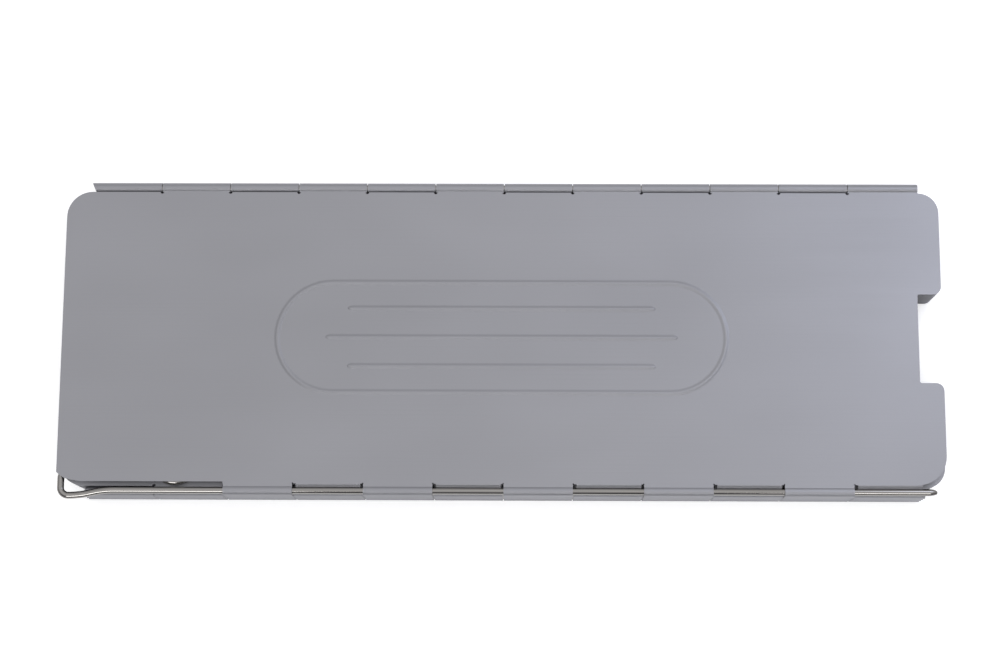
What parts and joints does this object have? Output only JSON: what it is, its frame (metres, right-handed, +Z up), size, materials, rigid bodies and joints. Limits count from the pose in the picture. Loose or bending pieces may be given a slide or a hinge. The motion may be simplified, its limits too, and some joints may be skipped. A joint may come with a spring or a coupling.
{
  "type": "folding stove windscreen",
  "caption": "Folding camp stove windscreen of thin aluminium plates on wire-pinned knuckle hinges, folded flat, with a sliding wire ground stake at each free edge.",
  "frame": {"origin": "middle of the folded pack's footprint, on the surface it lies on", "axes": "+X along the plates to the foot end with the vent notch, +Y to the side of the top plate's hinge, +Z up through the folded pack"},
  "size_m": [0.24, 0.088, 0.0148],
  "materials": {
    "plate": "satin, faint lengthwise grain",
    "wire": "bright drawn wire"
  },
  "bodies": {
    "leaf_1": {"plate_1": "plate", "hinge_pin_1": "wire"},
    "leaf_2": {"plate_2": "plate", "hinge_pin_2": "wire"},
    "leaf_3": {"plate_3": "plate", "hinge_pin_3": "wire"},
    "leaf_4": {"plate_4": "plate", "hinge_pin_4": "wire"},
    "leaf_5": {"plate_5": "plate", "hinge_pin_5": "wire"},
    "leaf_6": {"plate_6": "plate", "hinge_pin_6": "wire"},
    "leaf_7": {"plate_7": "plate", "hinge_pin_7": "wire"},
    "leaf_8": {"plate_8": "plate", "hinge_pin_8": "wire"},
    "leaf_9": {"plate_9": "plate"},
    "front_stake": {"stake_front": "wire"},
    "rear_stake": {"stake_rear": "wire"}
  },
  "joints": [
    {"name": "hinge_8", "type": "hinge", "parent": "leaf_9", "child": "leaf_8", "pos_m": [0, -0.04189, 0.0014], "axis": [1, 0, 0], "range_deg": [0, 142]},
    {"name": "hinge_7", "type": "hinge", "parent": "leaf_8", "child": "leaf_7", "pos_m": [0, 0.04205, 0.0044], "axis": [-1, 0, 0], "range_deg": [0, 213]},
    {"name": "hinge_6", "type": "hinge", "parent": "leaf_7", "child": "leaf_6", "pos_m": [0, -0.04195, 0.0044], "axis": [1, 0, 0], "range_deg": [0, 142]},
    {"name": "hinge_5", "type": "hinge", "parent": "leaf_6", "child": "leaf_5", "pos_m": [0, 0.042, 0.0074], "axis": [-1, 0, 0], "range_deg": [0, 213]},
    {"name": "hinge_4", "type": "hinge", "parent": "leaf_5", "child": "leaf_4", "pos_m": [0, -0.042, 0.0074], "axis": [1, 0, 0], "range_deg": [0, 142]},
    {"name": "hinge_3", "type": "hinge", "parent": "leaf_4", "child": "leaf_3", "pos_m": [0, 0.04195, 0.0104], "axis": [-1, 0, 0], "range_deg": [0, 213]},
    {"name": "hinge_2", "type": "hinge", "parent": "leaf_3", "child": "leaf_2", "pos_m": [0, -0.04205, 0.0104], "axis": [1, 0, 0], "range_deg": [0, 142]},
    {"name": "hinge_1", "type": "hinge", "parent": "leaf_2", "child": "leaf_1", "pos_m": [0, 0.04189, 0.0134], "axis": [-1, 0, 0], "range_deg": [0, 213]},
    {"name": "front_stake_slide", "type": "slide", "parent": "leaf_1", "child": "front_stake", "axis": [1, 0, 0], "range_m": [0, 0.029]},
    {"name": "rear_stake_slide", "type": "slide", "parent": "leaf_9", "child": "rear_stake", "axis": [1, 0, 0], "range_m": [0, 0.048]}
  ],
  "couplings": [
    {"joint": "hinge_7", "follows": "hinge_8", "ratio": 1.5},
    {"joint": "hinge_6", "follows": "hinge_8", "ratio": 1},
    {"joint": "hinge_5", "follows": "hinge_8", "ratio": 1.5},
    {"joint": "hinge_4", "follows": "hinge_8", "ratio": 1},
    {"joint": "hinge_3", "follows": "hinge_8", "ratio": 1.5},
    {"joint": "hinge_2", "follows": "hinge_8", "ratio": 1},
    {"joint": "hinge_1", "follows": "hinge_8", "ratio": 1.5}
  ]
}
